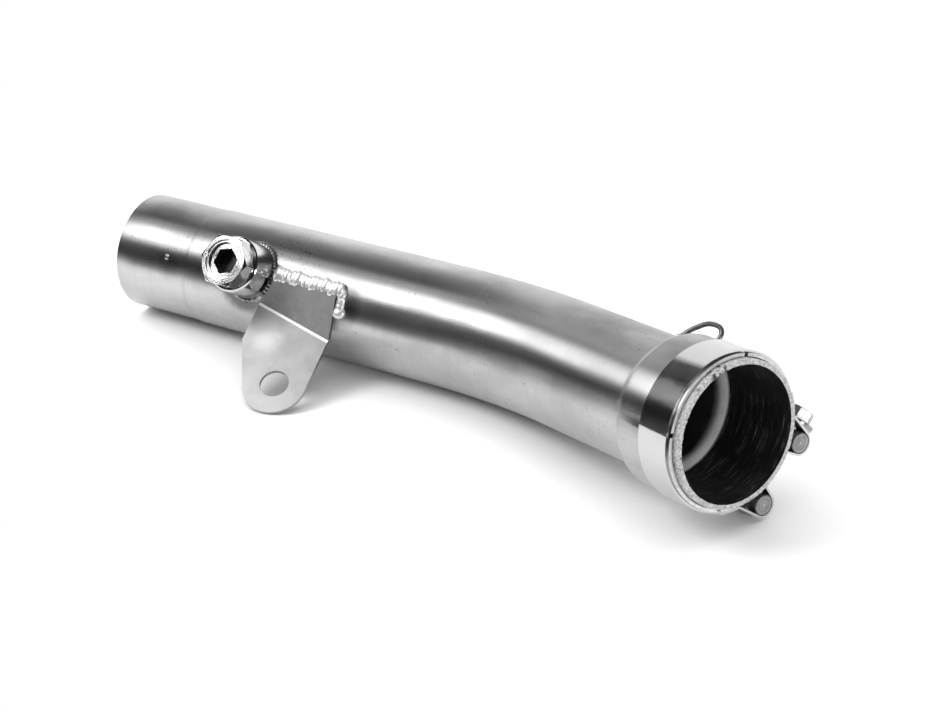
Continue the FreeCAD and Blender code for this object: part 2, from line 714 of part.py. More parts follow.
def makeHook():
    body = newBody("spring_hook", hookFrame)
    route = attachedSketch(body, "WireRoute", "XZ_Plane")
    points = [
        (hookRoot, S.tubeRadius - S.wireRadius),
        (flareStart - S.hookKneeBack, S.tubeRadius + S.hookKneeHeight),
        (flareStart + S.hookCrownAhead, S.tubeRadius + S.hookCrownHeight),
        (hookTip, coneAtTip - 2 * S.wireRadius),
    ]
    roundedPath(route, points, [S.hookKneeRounding, S.hookCrownRounding])
    doc.recompute()
    section = body.newObject("Sketcher::SketchObject", "WireSection")
    section.AttachmentSupport = [(route, "Edge1")]
    section.MapMode = "NormalToEdge"
    section.MapPathParameter = 0
    circle(section, zero, zero, S.wireRadius)
    doc.recompute()
    wire = body.newObject("PartDesign::AdditivePipe", "Wire")
    wire.Profile = section
    wire.Spine = (route, ["Edge%d" % (step + 1) for step in range(len(route.Shape.Edges))])
    doc.recompute()
    feet = attachedSketch(body, "WireFeetSection", "XZ_Plane")
    polygon(feet, outletOutline)
    turned("Groove", body, "WireFeet", feet, "H_Axis")
    return body


def makeHookWeld(label, place, height, hook):
    """A bead round one foot of the hook, shaped by the tube and the wire."""
    bead = Part.makeSphere(S.hookWeldRadius.value, FreeCAD.Vector(place.value, 0, height.value))
    weld = doc.addObject("Part::Feature", label)
    weld.Label = label
    wire = hook.Shape.transformed(hook.Placement.inverse().toMatrix())
    weld.Shape = bead.cut(outletForm()).cut(wire)
    weld.setExpression("Placement", hookFrame)
    return weld


def outletForm():
    points = [FreeCAD.Vector(x.value, 0, radius.value) for x, radius in outletOutline]
    face = Part.Face(Part.makePolygon(points + points[:1]))
    return face.revolve(FreeCAD.Vector(0, 0, 0), FreeCAD.Vector(1, 0, 0), fullTurn)


# Band clamp: in its frame +Y points midway between the barrels and +Z along the screw
clampFrame = chain(outletFrame, frame(axis=xAxis, turn=-S.clampAngle))
bandMiddleRadius = S.swageRadius + S.seatGap + S.bandThick / 2
foldedRadius = bandMiddleRadius + S.bandLayer
barrelReach = bandMiddleRadius + S.barrelStand
barrelOut = barrelReach * cosine(S.barrelAngle)
barrelUp = barrelReach * sine(S.barrelAngle)
loopRadius = S.barrelRadius + S.seatGap
legRun = barrelOut - foldedRadius * cosine(S.bandLiftAngle)
legClimb = barrelUp - foldedRadius * sine(S.bandLiftAngle)
legSlope = slopeOf(legClimb, legRun) + leanTo(loopRadius + S.bandThick / 2, legClimb, legRun)
legRunToWasher = legRun - S.washerRadius + S.bandThick / 2 * sine(legSlope)
legUnderWasher = (
    foldedRadius * sine(S.bandLiftAngle)
    + S.bandThick / 2 * cosine(legSlope)
    + legRunToWasher * tangent(legSlope)
)
washerSeat = larger(legUnderWasher, barrelUp + loopRadius + S.bandThick) + S.seatGap


def touchPoint(point, centre, radius, side):
    """Where a straight line from the point touches the circle, on the given side."""
    reach = centre - point
    lean = math.asin(radius / reach.Length)
    heading = math.atan2(reach.z, reach.y) + side * lean
    run = math.sqrt(reach.Length ** 2 - radius ** 2)
    return point + FreeCAD.Vector(0, math.cos(heading), math.sin(heading)) * run


def polar(radius, angle):
    turn = math.radians(angle)
    return FreeCAD.Vector(0, radius * math.cos(turn), radius * math.sin(turn))


def arcThrough(radius, start, end):
    return Part.Arc(polar(radius, start), polar(radius, (start + end) / 2), polar(radius, end)).toShape()


def ribbon(edges, width, thick):
    """A strip of sheet that follows the edges, extruded along +X."""
    outline = Part.Wire(edges).makeOffset2D(thick / 2, 0, False, False)
    return Part.Face(outline).extrude(FreeCAD.Vector(width, 0, 0))


def makeBand():
    thick = S.bandThick.value
    width = S.bandWidth.value
    middle = bandMiddleRadius.value
    folded = foldedRadius.value
    gap, lift, tail = S.bandGapAngle.value, S.bandLiftAngle.value, S.bandTailAngle.value
    strap = ribbon([arcThrough(middle, gap, fullTurn - gap)], width, thick)
    around = loopRadius.value + thick / 2
    centre = FreeCAD.Vector(0, barrelOut.value, barrelUp.value)
    liftPoint = polar(folded, lift)
    gapPoint = polar(middle, gap)
    outerTouch = touchPoint(liftPoint, centre, around, 1)
    gapTouch = touchPoint(gapPoint, centre, around, -1)
    farSide = polar(barrelReach.value + around, S.barrelAngle.value)
    loop = [
        arcThrough(folded, tail, lift),
        Part.LineSegment(liftPoint, outerTouch).toShape(),
        Part.Arc(outerTouch, farSide, gapTouch).toShape(),
        Part.LineSegment(gapTouch, gapPoint).toShape(),
    ]
    upper = ribbon(loop, width, thick)
    lower = upper.mirror(FreeCAD.Vector(0, 0, 0), FreeCAD.Vector(0, 0, 1))
    strap = strap.fuse([upper, lower]).removeSplitter()
    screwHole = Part.makeCylinder(
        (S.screwRadius + S.screwRoom).value,
        4 * barrelUp.value,
        FreeCAD.Vector(width / 2, barrelOut.value, -2 * barrelUp.value),
    )
    band = doc.addObject("Part::Feature", "clamp_band")
    band.Label = "clamp_band"
    band.Shape = strap.cut(screwHole)
    band.setExpression("Placement", chain(clampFrame, frame(x=bandRear)))
    return band


def makeBarrel(label, up, holeRadius):
    body = newBody(label, chain(clampFrame, frame(x=bandRear, y=barrelOut, z=up)))
    outline = attachedSketch(body, label + "Outline", "YZ_Plane")
    circle(outline, zero, zero, S.barrelRadius)
    pad(body, label + "Bar", outline, S.bandWidth)
    dressed("Chamfer", body, label + "Ends", S.barrelChamfer, lambda edge: isRing(edge, S.barrelRadius))
    hole = attachedSketch(body, label + "Hole", "XY_Plane", frame(x=S.bandWidth / 2))
    circle(hole, zero, zero, holeRadius)
    pocket(body, label + "Bore", hole, 4 * S.barrelRadius, both=True)
    return body


def makeScrew():
    body = newBody("clamp_screw", chain(clampFrame, frame(x=bandMiddle, y=barrelOut)))
    headBase = washerSeat + S.washerThick
    outline = attachedSketch(body, "ScrewHeadOutline", "XY_Plane", frame(z=headBase))
    hexagon(outline, S.screwFlats, zero)
    pad(body, "ScrewHead", outline, S.screwHead)
    headFace = headBase + S.screwHead
    cornerChamfer(body, "ScrewChamfer", "XZ_Plane", S.screwFlats, headFace, S.screwChamferAngle, 1)
    shank = attachedSketch(body, "ScrewShankOutline", "XY_Plane", frame(z=headBase))
    circle(shank, zero, zero, S.screwRadius - S.seatGap)
    pad(body, "ScrewShank", shank, headBase + barrelUp + S.screwEnd, reverse=True)
    return body


def makeWasher():
    body = newBody("clamp_washer", chain(clampFrame, frame(x=bandMiddle, y=barrelOut)))
    outline = attachedSketch(body, "WasherOutline", "XY_Plane", frame(z=washerSeat))
    circle(outline, zero, zero, S.washerRadius)
    circle(outline, zero, zero, S.screwRadius + S.screwRoom)
    pad(body, "Washer", outline, S.washerThick)
    return body


def makeParts():
    tube = makeTube()
    hook = makeHook()
    return [
        tube,
        makeGasket(),
        makeBoss(),
        makeBossWeld(),
        makePlug(),
        makeSeal(),
        makeBracket(),
        makeBracketWeld(),
        hook,
        makeHookWeld("hook_weld_rear", hookRoot + S.wireRadius, S.tubeRadius, hook),
        makeHookWeld("hook_weld_front", hookTip, coneAtTip, hook),
        makeBand(),
        makeBarrel("clamp_barrel_plain", barrelUp, S.screwRadius + S.screwRoom),
        makeBarrel("clamp_barrel_threaded", -barrelUp, S.screwRadius),
        makeScrew(),
        makeWasher(),
    ]


def checkParts(parts):
    doc.recompute()
    for item in doc.Objects:
        if "Invalid" in item.State or "Error" in item.State:
            raise RuntimeError(item.Name + " failed")
    for part in parts:
        if part.Shape.isNull() or not part.Shape.isValid():
            raise RuntimeError(part.Label + " has no valid shape")


def writeParts(parts):
    os.makedirs("parts", exist_ok=True)
    for part in parts:
        part.Shape.exportStep("parts/%s.step" % part.Label)
        box = part.Shape.BoundBox
        print("%-24s %7.0f mm3, %d solid, z %.2f to %.2f" % (
            part.Label, part.Shape.Volume, len(part.Shape.Solids), box.ZMin, box.ZMax))


allParts = makeParts()
checkParts(allParts)
writeParts(allParts)
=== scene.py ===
import math
import random

import bpy
from mathutils import Matrix, Vector


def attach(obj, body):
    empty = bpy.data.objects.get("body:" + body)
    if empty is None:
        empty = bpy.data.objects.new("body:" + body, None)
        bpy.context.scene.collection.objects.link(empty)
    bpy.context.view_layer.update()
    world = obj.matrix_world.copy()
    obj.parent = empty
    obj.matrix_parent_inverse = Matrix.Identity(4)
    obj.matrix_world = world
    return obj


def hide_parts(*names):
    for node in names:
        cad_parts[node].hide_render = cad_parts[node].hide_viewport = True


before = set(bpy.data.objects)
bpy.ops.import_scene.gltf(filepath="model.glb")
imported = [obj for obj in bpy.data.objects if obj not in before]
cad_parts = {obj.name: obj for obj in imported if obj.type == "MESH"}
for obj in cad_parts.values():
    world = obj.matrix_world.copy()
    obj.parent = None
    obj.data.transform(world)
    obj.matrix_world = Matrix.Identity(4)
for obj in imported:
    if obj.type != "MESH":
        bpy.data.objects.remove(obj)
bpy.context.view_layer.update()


# Small helpers for working on one piece at a time

def deselectAll():
    bpy.ops.object.select_all(action="DESELECT")


def makeActive(piece):
    deselectAll()
    piece.select_set(True)
    bpy.context.view_layer.objects.active = piece


def editPiece(piece, mode="VERT"):
    makeActive(piece)
    bpy.ops.object.mode_set(mode="EDIT")
    bpy.ops.mesh.select_mode(type=mode)
    bpy.ops.mesh.select_all(action="DESELECT")


def leaveEdit():
    bpy.ops.object.mode_set(mode="OBJECT")


def applyModifier(piece, kind, **settings):
    makeActive(piece)
    modifier = piece.modifiers.new(kind.lower(), kind)
    for key, value in settings.items():
        setattr(modifier, key, value)
    bpy.ops.object.modifier_apply(modifier=modifier.name)


def placeIn(piece, place):
    makeActive(piece)
    piece.matrix_world = place
    bpy.ops.object.transform_apply(location=True, rotation=True, scale=True)


def smoothShade(piece, degrees=30):
    makeActive(piece)
    bpy.ops.object.shade_smooth_by_angle(angle=math.radians(degrees))


def keepFlats(piece):
    applyModifier(piece, "WEIGHTED_NORMAL", weight=100, keep_sharp=True)


def joinPieces(pieces):
    deselectAll()
    for piece in pieces:
        piece.select_set(True)
    bpy.context.view_layer.objects.active = pieces[0]
    bpy.ops.object.join()
    return pieces[0]


def cutWith(piece, cutter, operation="DIFFERENCE"):
    applyModifier(piece, "BOOLEAN", object=cutter, operation=operation, solver="EXACT")
    bpy.data.objects.remove(cutter)


def settle(piece, name, material, slotName, *nodes):
    piece.name = name
    piece.data.name = name
    if material:
        piece.data.materials.clear()
        piece.data.materials.append(material)
    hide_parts(*nodes)
    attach(piece, "root")
    return piece


# Places shared by the pieces
layout = {
    "straight": 0.18,
    "bendRadius": 0.195,
    "bendAngle": math.radians(24.5),
    "bendTilt": math.radians(16),
    "bossPlace": 0.0832,
    "bossAngle": math.radians(32.6),
    "legAngle": math.radians(20),
    "outletLength": 0.1098,
}


def turnX(angle):
    return Matrix.Rotation(angle, 4, "X")


def outletInBend():
    bend = layout["bendAngle"]
    radius = layout["bendRadius"]
    x = layout["straight"] + radius * math.sin(bend)
    y = -radius * (1 - math.cos(bend))
    return Matrix.Translation((x, y, 0)) @ Matrix.Rotation(-bend, 4, "Z")


bendPlace = turnX(-layout["bendTilt"])
outletPlace = bendPlace @ outletInBend()
bossPlace = Matrix.Translation((layout["bossPlace"], 0, 0)) @ turnX(-layout["bossAngle"])
legPlace = turnX(-layout["legAngle"])


# Materials

def newMaterial(name, **values):
    material = bpy.data.materials.new(name)
    material.use_nodes = True
    surface = material.node_tree.nodes["Principled BSDF"]
    for key, value in values.items():
        surface.inputs[key].default_value = value
    return material, material.node_tree, surface


def addNode(tree, kind, **values):
    node = tree.nodes.new(kind)
    for key, value in values.items():
        if key in node.inputs:
            node.inputs[key].default_value = value
        else:
            setattr(node, key, value)
    return node


# The piece's own coordinates, scaled per axis, or an attribute of the mesh
def coordinates(tree, scale=(1, 1, 1), attribute=None, place=None):
    if attribute:
        source = addNode(tree, "ShaderNodeAttribute", attribute_name=attribute).outputs["Vector"]
    else:
        source = addNode(tree, "ShaderNodeTexCoord").outputs["Object"]
    if place:
        centre, turn = place
        shift = addNode(tree, "ShaderNodeMapping", vector_type="TEXTURE")
        shift.inputs["Location"].default_value = centre
        shift.inputs["Rotation"].default_value = turn
        tree.links.new(source, shift.inputs["Vector"])
        source = shift.outputs["Vector"]
    mapping = addNode(tree, "ShaderNodeMapping")
    mapping.inputs["Scale"].default_value = scale
    tree.links.new(source, mapping.inputs["Vector"])
    return mapping.outputs["Vector"]


# Where a point of the tube would be if the tube were straight
def unrolledPlace(tree, scale=(1, 1, 1)):
    return coordinates(tree, scale, "straight")


def lengthwise(tree, vector):
    node = addNode(tree, "ShaderNodeSeparateXYZ")
    tree.links.new(vector, node.inputs[0])
    return node.outputs["X"]


def noise(tree, vector, scale, detail=3.0, roughness=0.55):
    node = addNode(tree, "ShaderNodeTexNoise", Scale=scale, Detail=detail, Roughness=roughness)
    tree.links.new(vector, node.inputs["Vector"])
    return node.outputs["Fac"]


def ramp(tree, value, low, high, darkest=0.0, lightest=1.0):
    node = addNode(tree, "ShaderNodeMapRange", interpolation_type="SMOOTHSTEP")
    node.inputs["From Min"].default_value = low
    node.inputs["From Max"].default_value = high
    node.inputs["To Min"].default_value = darkest
    node.inputs["To Max"].default_value = lightest
    tree.links.new(value, node.inputs["Value"])
    return node.outputs["Result"]


def blendColours(tree, factor, first, second):
    node = addNode(tree, "ShaderNodeMix", data_type="RGBA")
    node.inputs["A"].default_value = (first, first, first, 1)
    node.inputs["B"].default_value = (second, second, second, 1)
    tree.links.new(factor, node.inputs["Factor"])
    return node.outputs["Result"]


def dimmed(tree, colour, amount):
    node = addNode(tree, "ShaderNodeMix", data_type="RGBA", blend_type="MULTIPLY")
    node.inputs["Factor"].default_value = 1.0
    tree.links.new(colour, node.inputs["A"])
    tree.links.new(amount, node.inputs["B"])
    return node.outputs["Result"]


def maths(tree, operation, first, second=None):
    node = addNode(tree, "ShaderNodeMath", operation=operation)
    for socket, value in zip(node.inputs, (first, second)):
        if hasattr(value, "links"):
            tree.links.new(value, socket)
        elif value is not None:
            socket.default_value = value
    return node.outputs["Value"]


def bumpFrom(tree, surface, height, strength, distance):
    bump = addNode(tree, "ShaderNodeBump", Strength=strength, Distance=distance)
    tree.links.new(height, bump.inputs["Height"])
    before = surface.inputs["Normal"].links
    if before:
        tree.links.new(before[0].from_socket, bump.inputs["Normal"])
    tree.links.new(bump.outputs["Normal"], surface.inputs["Normal"])


def farFrom(tree, vector, point):
    node = addNode(tree, "ShaderNodeVectorMath", operation="DISTANCE")
    tree.links.new(vector, node.inputs[0])
    node.inputs[1].default_value = point
    return node.outputs["Value"]


# Marks on the tube, one of them a painted shadow beside the bracket's weld: centre, inner and outer
# radius, how dark
tubeMarks = {
    "boss heat": ((0.0835, -0.0270, 0.0128), 0.0145, 0.0205, 0.3),
    # painted shadow on the tube beside the bracket's weld
    "bead shadow": ((0.1420, -0.0262, 0.0130), 0.0040, 0.0100, 0.6),
    "bead end": ((0.1430, -0.0280, 0.0070), 0.0045, 0.0085, 0.72),
    "pip edge": ((0.0317, -0.0272, 0.0128), 0.0014, 0.0028, 0.75),
    "pip smear": ((0.0337, -0.0288, 0.0075), 0.0010, 0.0085, 0.75),
}
markRim = {"grain": 420, "ragged": 0.004}
sizingLine = {"place": 0.0435, "width": 0.0018, "dark": 0.86}
specks = {
    "grain": 640,
    "patchGrain": 38,
    "thinDark": 0.45,
    "thickDark": 0.7,
    "thickCentre": (0.106, -0.0155, 0.0257),
    "thickNear": 0.004,
    "thickFar": 0.021,
}


def onTube(point):
    return bendPlace.inverted() @ Vector(point)


# Thin all over in patches, and thick behind the bracket's weld
def darkSpecks(tree, place):
    look = specks
    grains = noise(tree, place, look["grain"], 2.0, 0.5)
    patches = noise(tree, place, look["patchGrain"], 2.0, 0.5)
    thin = maths(tree, "MULTIPLY", ramp(tree, grains, 0.66, 0.7), ramp(tree, patches, 0.52, 0.62))
    away = farFrom(tree, place, onTube(look["thickCentre"]))
    thick = maths(
        tree, "MULTIPLY",
        ramp(tree, away, look["thickNear"], look["thickFar"], 1.0, 0.0),
        ramp(tree, grains, 0.61, 0.67),
    )
    return maths(
        tree, "MAXIMUM",
        maths(tree, "MULTIPLY", thin, look["thinDark"]),
        maths(tree, "MULTIPLY", thick, look["thickDark"]),
    )


# Darkens the steel at its marks, one of them a painted shadow beside the bracket's weld, with a
# ragged rim, then at the sizing line and the specks
def stainsAndShadowColour(tree, colour):
    place = unrolledPlace(tree)
    ragged = noise(tree, place, markRim["grain"], 4.0, 0.6)
    shift = maths(tree, "MULTIPLY", maths(tree, "SUBTRACT", ragged, 0.5), markRim["ragged"])
    for centre, near, far, dark in tubeMarks.values():
        reach = maths(tree, "ADD", farFrom(tree, place, onTube(centre)), shift)
        colour = dimmed(tree, colour, ramp(tree, reach, near, far, dark, 1.0))
    offLine = maths(tree, "SUBTRACT", lengthwise(tree, place), sizingLine["place"])
    offLine = maths(tree, "ABSOLUTE", offLine)
    line = ramp(tree, offLine, 0.0, sizingLine["width"], sizingLine["dark"], 1.0)
    colour = dimmed(tree, colour, line)
    return dimmed(tree, colour, maths(tree, "SUBTRACT", 1.0, darkSpecks(tree, place)))


tubeLook = {
    "grey": 0.55,
    "dull": 0.46,
    "roughness": 0.34,
    "roughest": 0.43,
    "brushing": 0.9,
    "brushScale": (1900, 22, 22),
    "brushDepth": 0.00001,
    "smearScale": (22, 42, 42),
    "smearShare": 0.65,
    "waveScale": (10, 26, 26),
    "waveDepth": 0.0006,
    "pipTop": 0.0005,
    "pipFoot": 0.0017,
    "pipHeight": 0.0005,
}


def tubeMaterial():
    look = tubeLook
    material, tree, surface = newMaterial("brushedTube", Metallic=1.0, Anisotropic=look["brushing"])
    brush = noise(tree, unrolledPlace(tree, look["brushScale"]), 1.0, 4.0, 0.65)
    smears = noise(tree, unrolledPlace(tree, look["smearScale"]), 1.0, 6.0, 0.66)
    waves = noise(tree, unrolledPlace(tree, look["waveScale"]), 1.0, 2.0, 0.4)
    stains = maths(
        tree, "ADD",
        maths(tree, "MULTIPLY", smears, look["smearShare"]),
        maths(tree, "MULTIPLY", brush, 1 - look["smearShare"]),
    )
    colour = blendColours(tree, ramp(tree, stains, 0.38, 0.64), look["grey"], look["dull"])
    tree.links.new(stainsAndShadowColour(tree, colour), surface.inputs["Base Color"])
    tree.links.new(
        ramp(tree, smears, 0.3, 0.75, look["roughness"], look["roughest"]),
        surface.inputs["Roughness"],
    )
    along = addNode(tree, "ShaderNodeAttribute", attribute_name="along")
    tree.links.new(along.outputs["Vector"], surface.inputs["Tangent"])
    offPip = farFrom(tree, unrolledPlace(tree), onTube(tubeMarks["pip edge"][0]))
    pip = ramp(tree, offPip, look["pipTop"], look["pipFoot"], 1.0, 0.0)
    bumpFrom(tree, surface, pip, 1.0, look["pipHeight"])
    bumpFrom(tree, surface, waves, 0.25, look["waveDepth"])
    bumpFrom(tree, surface, brush, 0.5, look["brushDepth"])
    return material


# Inside of the tube: nearly black deeper in, as painted shade, and pale steel from the swage's cone
# to the mouth
boreLook = {
    "shadeEnd": 0.331,
    "paleStart": 0.337,
    "ragged": 0.004,
    "deepShade": (0.02, 0.05),
    "paleSteel": (0.95, 0.7),
}


def boreMaterial():
    look = boreLook
    material, tree, surface = newMaterial("shadedBore", Metallic=0.2, Roughness=0.4)
    deepShade = noise(tree, unrolledPlace(tree, (30, 60, 60)), 1.0, 4.0)
    along = lengthwise(tree, unrolledPlace(tree))
    depth = maths(tree, "ADD", along, maths(tree, "MULTIPLY", deepShade, look["ragged"]))
    shade = ramp(tree, deepShade, 0.3, 0.7)
    colour = addNode(tree, "ShaderNodeMix", data_type="RGBA")
    tree.links.new(blendColours(tree, shade, *look["deepShade"]), colour.inputs["A"])
    tree.links.new(blendColours(tree, shade, *look["paleSteel"]), colour.inputs["B"])
    tree.links.new(
        ramp(tree, depth, look["shadeEnd"], look["paleStart"]), colour.inputs["Factor"]
    )
    tree.links.new(colour.outputs["Result"], surface.inputs["Base Color"])
    return material


# Grey and the duller one that it is mottled with, least and most roughness, grain of
# the mottling, bump depth, how metallic
metalLooks = {
    "plateSteel": (0.5, 0.39, 0.32, 0.4, 60, 0.00005, 1.0),
    # a lighter, less metallic copy of plateSteel: painted light on the leg's front face
    "litLegFront": (0.66, 0.4, 0.36, 0.46, 60, 0.00005, 0.88),
    # painted highlight along the outside of the fold
    "foldHighlight": (0.95, 0.85, 0.5, 0.6, 200, 0.00002, 0.3),
    "cutRim": (0.8, 0.6, 0.4, 0.5, 400, 0.00003, 0.5),
    # painted shade on the leg's right-hand cut edge, by the gap to the tube
    "shadedLegSide": (0.16, 0.1, 0.4, 0.5, 200, 0.00003, 1.0),
    # painted shade on the floor of the plug's socket
    "shadedSocket": (0.05, 0.03, 0.4, 0.5, 200, 0.00001, 1.0),
    "weldSteel": (0.92, 0.78, 0.26, 0.4, 260, 0.00002, 0.65),
    "burntWeld": (0.34, 0.1, 0.25, 0.4, 210, 0.00002, 1.0),
    "barSteel": (0.34, 0.24, 0.25, 0.4, 300, 0.00003, 1.0),
    "wireSteel": (0.25, 0.16, 0.3, 0.45, 300, 0.00003, 1.0),
    "sealMetal": (0.8, 0.7, 0.12, 0.2, 300, 0.00001, 1.0),
}


def plainMetal(name):
    grey, dull, roughness, roughest, grain, bumpDepth, metallic = metalLooks[name]
    material, tree, surface = newMaterial(name, Metallic=metallic)
    field = noise(tree, coordinates(tree), grain, 5.0, 0.6)
    colour = blendColours(tree, ramp(tree, field, 0.35, 0.7), grey, dull)
    tree.links.new(colour, surface.inputs["Base Color"])
    tree.links.new(ramp(tree, field, 0.3, 0.7, roughness, roughest), surface.inputs["Roughness"])
    fine = noise(tree, coordinates(tree), grain * 9, 4.0, 0.6)
    bumpFrom(tree, surface, fine, 0.5, bumpDepth)
    return material


bandLook = {
    "grey": 0.58,
    "roughness": 0.04,
    "worn": 0.32,
    "brushing": 1.0,
    "hazeGrain": 14000,   # finer than a pixel, so polish and wear are seen as one haze
    "speckGrain": 1300,
    "dentGrain": 42,
    "dentDepth": 0.0004,
}


def bandMaterial():
    look = bandLook
    grey = look["grey"]
    material, tree, surface = newMaterial(
        "polishedBand", Metallic=1.0, Anisotropic=look["brushing"]
    )
    surface.inputs["Base Color"].default_value = (grey, grey, grey, 1)
    haze = noise(tree, coordinates(tree), look["hazeGrain"], 1.0, 0.5)
    grains = noise(tree, coordinates(tree), look["speckGrain"], 3.0, 0.6)
    worn = maths(tree, "MAXIMUM", ramp(tree, haze, 0.57, 0.6), ramp(tree, grains, 0.68, 0.74))
    rough = maths(tree, "MULTIPLY", worn, look["worn"] - look["roughness"])
    tree.links.new(maths(tree, "ADD", rough, look["roughness"]), surface.inputs["Roughness"])
    axis = addNode(tree, "ShaderNodeCombineXYZ")
    along = outletPlace.to_3x3() @ Vector((1, 0, 0))
    for socket, value in zip(axis.inputs, along):
        socket.default_value = value
    tree.links.new(axis.outputs["Vector"], surface.inputs["Tangent"])
    dents = noise(tree, coordinates(tree), look["dentGrain"], 1.0, 0.4)
    bumpFrom(tree, surface, dents, 0.3, look["dentDepth"])
    return material


# Grey, roughness and depth of the rings
turnedLooks = {
    "bossSteel": (0.6, 0.09, 0.00001),
    "plugSteel": (0.7, 0.1, 0.00001),
    "pinSteel": (0.34, 0.28, 0.000005),
}
latheMarks = {
    "ringScale": 9000,
    "circle": 0.0028,
    "circleWidth": 0.0003,
    "circleDark": 0.6,
    "dot": 0.0003,
    "dotRim": 0.0007,
    "dotLight": 1.9,
}


# Metal with fine rings about an axis, a dark circle and a bright dot, as a lathe leaves
def turnedMetal(name, centre, turn, flat):
    look = latheMarks
    grey, roughness, depth = turnedLooks[name]
    material, tree, surface = newMaterial(name, Metallic=1.0)
    local = coordinates(tree, flat, place=(centre, turn))
    length = addNode(tree, "ShaderNodeVectorMath", operation="LENGTH")
    tree.links.new(local, length.inputs[0])
    radius = length.outputs["Value"]
    rings = maths(tree, "SINE", maths(tree, "MULTIPLY", radius, look["ringScale"]))
    stain = noise(tree, coordinates(tree), 180, 4.0)
    colour = blendColours(tree, ramp(tree, stain, 0.35, 0.7), grey, grey * 0.75)
    offCircle = maths(tree, "ABSOLUTE", maths(tree, "SUBTRACT", radius, look["circle"]))
    circle = ramp(tree, offCircle, 0.0, look["circleWidth"], look["circleDark"], 1.0)
    dot = ramp(tree, radius, look["dot"], look["dotRim"], look["dotLight"], 1.0)
    colour = dimmed(tree, dimmed(tree, colour, circle), dot)
    tree.links.new(colour, surface.inputs["Base Color"])
    tree.links.new(
        ramp(tree, stain, 0.3, 0.7, roughness, roughness * 1.8), surface.inputs["Roughness"]
    )
    bumpFrom(tree, surface, rings, 0.5, depth)
    return material


def middleOf(node):
    corners = [Vector(corner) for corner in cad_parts[node].bound_box]
    return sum(corners, Vector()) / 8


gasketLook = {
    "grain": 900,
    "crumbGrain": 260,
    "dull": 0.34,
    "light": 0.72,
    "gap": 0.02,
    "cracksAt": (0.1129, -0.016, 0.0277),   # in the outlet's own place
    "cracksNear": 0.003,
    "cracksFar": 0.0075,
    "cracksDark": 0.95,
}


def gasketMaterial():
    look = gasketLook
    material, tree, surface = newMaterial("pressedGasket", Metallic=0.35, Roughness=0.6)
    grain = noise(tree, coordinates(tree), look["grain"], 6.0, 0.7)
    crumbs = noise(tree, coordinates(tree), look["crumbGrain"], 5.0, 0.7)
    mix = addNode(tree, "ShaderNodeMix", data_type="RGBA")
    mix.inputs["A"].default_value = (look["gap"], look["gap"], look["gap"], 1)
    tree.links.new(
        blendColours(tree, ramp(tree, grain, 0.35, 0.65), look["dull"], look["light"]),
        mix.inputs["B"],
    )
    tree.links.new(ramp(tree, crumbs, 0.32, 0.4), mix.inputs["Factor"])
    away = farFrom(tree, coordinates(tree), outletPlace @ Vector(look["cracksAt"]))
    near = ramp(tree, away, look["cracksNear"], look["cracksFar"], look["cracksDark"], 0.0)
    cracks = ramp(tree, noise(tree, coordinates(tree), 420, 2.0, 0.5), 0.5, 0.56)
    whole = maths(tree, "SUBTRACT", 1.0, maths(tree, "MULTIPLY", near, cracks))
    tree.links.new(dimmed(tree, mix.outputs["Result"], whole), surface.inputs["Base Color"])
    bumpFrom(tree, surface, grain, 0.8, 0.0003)
    bumpFrom(tree, surface, crumbs, 0.8, 0.0006)
    return material


graphiteLook = {"rowScale": (3200, 60, 60), "dark": 0.006, "light": 0.5, "rowDepth": 0.0003}


def graphiteMaterial():
    look = graphiteLook
    material, tree, surface = newMaterial("darkGraphite", Metallic=0.0, Roughness=0.45)
    upright = ((0, 0, 0), outletPlace.to_euler())
    rows = noise(tree, coordinates(tree, look["rowScale"], place=upright), 1.0, 4.0, 0.7)
    colour = blendColours(tree, ramp(tree, rows, 0.59, 0.7), look["dark"], look["light"])
    tree.links.new(colour, surface.inputs["Base Color"])
    bumpFrom(tree, surface, rows, 0.6, look["rowDepth"])
    return material


print("materials")
steelTube = tubeMaterial()
shadedBore = boreMaterial()
polishedBand = bandMaterial()
gasketMix = gasketMaterial()
darkGraphite = graphiteMaterial()
plain = {name: plainMetal(name) for name in metalLooks}
bossTurn = (-layout["bossAngle"], 0, 0)
bossCentre = (layout["bossPlace"], 0, 0)
bossSteel = turnedMetal("bossSteel", bossCentre, bossTurn, (1, 0, 1))
plugSteel = turnedMetal("plugSteel", bossCentre, bossTurn, (1, 0, 1))
outletTurn = tuple(outletPlace.to_euler())
plainPin, threadedPin = [
    turnedMetal("pinSteel", middleOf(node), outletTurn, (0, 1, 1))
    for node in ("clamp_barrel_plain", "clamp_barrel_threaded")
]


# Tube: a ring extruded along the straight run, spun through the bend and drawn out
tubeSizes = {
    "ring": 216,
    "radius": 0.03,
    "wall": 0.0015,
    "inletRadius": 0.0296,
    "inletLength": 0.0435,
    "inletStep": 0.001,   # half the length over which it grows to the full radius
    "growSteps": 3,
    "inletRings": (0.012, 0.015),
    "straightRings": 6,
    "bendSteps": 40,
    "flareStart": 0.0684,
    "flareEnd": 0.0768,
    "flareSteps": 10,
    "swageRadius": 0.0348,
    "slotWidth": 0.002,
    "slotLength": 0.0175,
    "slotRelief": 0.0025,
    "slotCount": 4,
    "slotPastMouth": 0.002,
    "slotDepth": 0.008,
    "portRadius": 0.009,
    "portDepth": 0.02,
    "rimRound": 0.00018,
}
rimMaterial = 2   # the third of the tube's materials


def drawOut(step):
    bpy.ops.mesh.extrude_region_move(TRANSFORM_OT_translate={"value": step})


def scaleRing(factor, centre):
    bpy.ops.transform.resize(value=(factor, factor, factor), center_override=centre)


